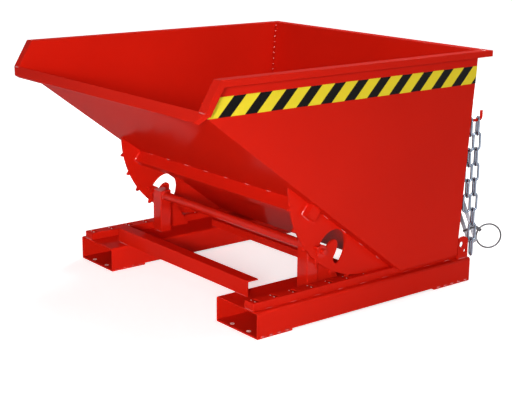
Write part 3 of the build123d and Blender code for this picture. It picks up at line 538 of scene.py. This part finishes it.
def base_welds(material):
    """Seams of the rails, foot plates, cross members, guide posts, gussets and latch plate."""
    welds = Beads(seed=23)
    tube_y, tube_z = GUIDE_TUBE_YZ
    for side in (1, -1):
        for x in RAIL_SIDES_X:
            seam = [place(side * x, y, POCKET_TOP) for y in RAIL_SIDE_SEAM_Y]
            welds.stitches(seam, SMALL_BEAD, STITCH, RAIL_PITCH)
        front = [place(side * x, RAIL_FRONT_SEAM_Y, POCKET_TOP) for x in RAIL_SIDES_X]
        welds.bead(front, SMALL_BEAD)
        for x in POCKET_SIDES_X:
            for ends in FOOT_SEAMS_Y:
                seam = [place(side * x, y, FOOT_TOP) for y in ends]
                welds.stitches(seam, BEAD, SHORT_STITCH, FOOT_PITCH)
        for end_x, y in CROSS_SEAM_ENDS_XY:
            seam = [place(side * x, y, POCKET_TOP) for x in (CROSS_SEAM_START_X, end_x)]
            welds.bead(seam, SMALL_BEAD)
        welds.bead([place(side * x, y, POCKET_TOP) for x, y in post_outline()], SMALL_BEAD)
        for x in GUSSET_FACES_X:
            foot = [place(side * x, tube_y + depth, POCKET_TOP) for depth in GUSSET_FOOT_DEPTHS]
            welds.stitches(foot, SMALL_BEAD, STITCH, GUSSET_FOOT_PITCH)
            upright = [place(side * x, tube_y + POST_HALF_DEPTH, z) for z in GUSSET_UPRIGHT_Z]
            welds.stitches(upright, SMALL_BEAD, STITCH, GUSSET_UPRIGHT_PITCH)
        for x in POST_X:
            centre = place(side * x, tube_y, tube_z)
            welds.ring(centre, (1, 0, 0), GUIDE_TUBE_RADIUS, SMALL_BEAD)
    for x in LATCH_PLATE_FACES_X:
        welds.bead([place(x, y, POCKET_TOP) for y in LATCH_PLATE_Y], BEAD)
    welds.finish("base_weld_beads", "base", material)


def painted_glint_beads(material):
    """Beads of bright pink metal at the rails' slots and round the castor holes: painted highlights
    that stand for light catching these edges.
    """
    glints = Beads(seed=37)
    for side in (1, -1):
        for slot_y in RAIL_SLOTS_Y:
            edge_y, edge_z = slot_y - RAIL_SLOT_HALF, RAIL_TOP - GLINT_BEAD_SINK
            for ends in RAIL_SLOT_ENDS_X:
                glints.bead([place(side * x, edge_y, edge_z) for x in ends], GLINT_BEAD)
        for foot_y in FOOT_CENTRES_Y:
            for x, y in CASTOR_HOLES:
                centre = place(side * x, foot_y + y, FOOT_TOP)
                glints.ring(centre, (0, 0, 1), CASTOR_HOLE_RADIUS, HOLE_GLINT_BEAD, sides=12)
    glints.finish("painted_glint_beads", "base", material)


def hank_route():
    """Control points of the loops, each bend as the corners of the lines that touch it."""
    reach = HANK_TOP - HANK_BOTTOM
    up = reach.normalized()
    across = Vector((up.z, 0, -up.x))
    lean = asin((HANK_TOP_RADIUS - HANK_BOTTOM_RADIUS) / reach.length)

    def bend(centre, radius, first, sweep, y):
        step = sweep / BEND_POINTS
        turns = [first - step * (k + 0.5) for k in range(BEND_POINTS)]
        corner_radius = radius / cos(step / 2)
        lift = Vector((0, y, 0))
        corners = [centre + lift + (across * cos(t) + up * sin(t)) * corner_radius for t in turns]
        before = across * -sin(first) + up * cos(first)
        after = across * -sin(first - sweep) + up * cos(first - sweep)
        run_in = corners[0] + before * (2 * radius)
        run_out = corners[-1] - after * (2 * radius)
        return [run_in] + corners + [run_out]

    points = []
    for loop in range(HANK_LOOPS + 1):
        y = HANK_FIRST + loop * HANK_STEP
        points += bend(HANK_TOP, HANK_TOP_RADIUS, pi + lean, pi + 2 * lean, y)
        if loop < HANK_LOOPS:
            points += bend(HANK_BOTTOM, HANK_BOTTOM_RADIUS, -lean, pi - 2 * lean, y)
    return points


def tail_route(hank_end, heading):
    """From the last loop to the ferrule on the pull ring."""
    level = cos(RING_HOLD)
    outward = Vector((cos(RING_PLANE) * level, sin(RING_PLANE) * level, sin(RING_HOLD)))
    ferrule = RING_CENTRE + outward * RING_TO_FERRULE_END
    return [hank_end + heading * TAIL_RUN, ferrule + outward * TAIL_RUN, ferrule]


def cable(material):
    """Lead, hank and tail as one smooth cord."""
    loops = hank_route()
    heading = (loops[-1] - loops[-2]).normalized()
    route = LEAD_ROUTE + loops + tail_route(loops[-1], heading)
    curve = bpy.data.curves.new("release_cable", "CURVE")
    curve.dimensions = "3D"
    curve.bevel_depth = CABLE_RADIUS
    curve.bevel_resolution = 3
    curve.resolution_u = 6
    spline = curve.splines.new("NURBS")
    spline.points.add(len(route) - 1)
    for point, where in zip(spline.points, route):
        point.co = (*where, 1.0)
    spline.order_u = 3
    spline.use_endpoint_u = True
    curve.materials.append(material)
    obj = bpy.data.objects.new("release_cable", curve)
    bpy.context.collection.objects.link(obj)
    return obj


def seen_directly(tree):
    """One for rays from the camera or from a mirror or glass, and zero for rays that light."""
    path = tree.nodes.new("ShaderNodeLightPath")
    value = path.outputs["Is Camera Ray"]
    for name in ("Is Glossy Ray", "Is Transmission Ray"):
        node = tree.nodes.new("ShaderNodeMath")
        node.operation = "MAXIMUM"
        tree.links.new(value, node.inputs[0])
        tree.links.new(path.outputs[name], node.inputs[1])
        value = node.outputs[0]
    return value


def floor():
    """White floor: lifted where it is seen, less so near the part, whose shadow it keeps."""
    mesh = bpy.data.meshes.new("floor")
    half = FLOOR_HALF
    corners = [(-half, -half, 0), (half, -half, 0), (half, half, 0), (-half, half, 0)]
    mesh.from_pydata(corners, [], [(0, 1, 2, 3)])
    obj = bpy.data.objects.new("floor", mesh)
    bpy.context.collection.objects.link(obj)
    s = Shader("floor_white")
    s.set(Base_Color=s.mix(s.noise(scale=3.0), FLOOR_WHITE, darker(FLOOR_WHITE, 0.985)))
    s.set(Roughness=0.7, Specular_IOR_Level=0.1, Emission_Color=(1.0, 1.0, 1.0))
    across, along = s.axis("X"), s.axis("Y")
    squares = s.math("ADD", s.math("MULTIPLY", across, across), s.math("MULTIPLY", along, along))
    lift = s.spread(s.math("SQRT", squares), FLOOR_LIFT_NEAR, FLOOR_LIFT_FAR, *FLOOR_LIFT_REACH)
    s.set(Emission_Strength=s.math("MULTIPLY", seen_directly(s.tree), lift))
    mesh.materials.append(s.material)


def world():
    """Plain white surround: full strength where it is seen, softer where it lights."""
    background = bpy.data.worlds.new("studio")
    bpy.context.scene.world = background
    background.use_nodes = True
    tree = background.node_tree
    shader = tree.nodes["Background"]
    shader.inputs["Color"].default_value = (1.0, 1.0, 1.0, 1.0)
    level = tree.nodes.new("ShaderNodeMapRange")
    tree.links.new(seen_directly(tree), level.inputs["Value"])
    level.inputs["To Min"].default_value = DOME_LIGHT
    level.inputs["To Max"].default_value = 1.0
    tree.links.new(level.outputs["Result"], shader.inputs["Strength"])


def area_light(name, where, target, size, power, spread=pi):
    """A round lamp that faces a target."""
    lamp = bpy.data.lights.new(name, "AREA")
    lamp.shape = "DISK"
    lamp.size = size
    lamp.energy = power
    lamp.spread = spread
    obj = bpy.data.objects.new(name, lamp)
    obj.location = where
    obj.rotation_euler = (Vector(target) - Vector(where)).to_track_quat("-Z", "Y").to_euler()
    bpy.context.collection.objects.link(obj)


def camera():
    """The view of the photograph."""
    az, el, roll = CAMERA_AZIMUTH, CAMERA_ELEVATION, CAMERA_ROLL
    back = Vector((sin(az) * cos(el), -cos(az) * cos(el), sin(el)))
    right = Vector((cos(az), sin(az), 0))
    up = back.cross(right)
    across = right * cos(roll) + up * sin(roll)
    upright = up * cos(roll) - right * sin(roll)
    lens = bpy.data.cameras.new("photo_view")
    lens.lens = CAMERA_LENS
    lens.sensor_width = CAMERA_SENSOR
    lens.sensor_fit = "HORIZONTAL"
    lens.shift_x, lens.shift_y = CAMERA_SHIFT
    lens.clip_end = CAMERA_FAR
    obj = bpy.data.objects.new("photo_view", lens)
    axes = Matrix((across, upright, back)).transposed().to_4x4()
    obj.matrix_world = Matrix.Translation(CAMERA_PLACE) @ axes
    bpy.context.collection.objects.link(obj)
    bpy.context.scene.camera = obj


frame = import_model()
nodes = frame["nodes"]

# Materials
bead_paint = red_paint("red_bead_paint", gloss=1.0, coat_ior=2.0)
# Bright pink metal for the painted highlights on slot edges and hole rims
glint_metal = bare_metal("painted_glint_metal", GLINT_PINK, roughness=0.25, grain=320.0)
sheath = cable_sheath()
painted = [n for n in nodes if n not in TAPES + CHAINS + STEELS + CABLES + BARS + TIES]
dress(nodes, painted, red_paint("red_gloss_paint", gloss=0.06))
dress(nodes, BARS, red_paint("red_bar_paint", gloss=0.3))
dress(nodes, TAPES, hazard_tape())
dress(nodes, CHAINS, bare_metal("zinc_plating", ZINC, roughness=0.14, grain=240.0))
dress(nodes, STEELS, bare_metal("plain_steel", STEEL, roughness=0.22, grain=320.0))
dress(nodes, CABLES, sheath)
dress(nodes, TIES, nylon())

# Edges, welds and painted highlights
for name in FOLDED:
    round_edges(nodes[name], FOLD_ROUNDING, merge_flat=True)
for name in CUT:
    round_edges(nodes[name], CUT_ROUNDING)
trough_welds(bead_paint)
base_welds(bead_paint)
painted_glint_beads(glint_metal)

# Cable
release_cable = cable(sheath)
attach(release_cable, "trough")
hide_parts(*CABLES)

# Floor, light and camera
floor()
world()
area_light("camera_side", where=(3.9, -4.0, 1.7), target=(-0.2, -0.1, 0.4), size=0.85, power=208)
area_light("base_fill", where=(3.0, -2.38, 0.80), target=(-0.4, -0.2, 0.15), size=0.5, power=0.9,
           spread=radians(26))
area_light("overhead", where=(0.4, 0.5, 2.95), target=(-0.2, 0, 0.4), size=1.8, power=36)
area_light("rear_fill", where=(-1.9, 3.1, 2.5), target=(0, 0, 0.4), size=1.2, power=66)
camera()
bpy.context.scene.view_settings.view_transform = "Standard"
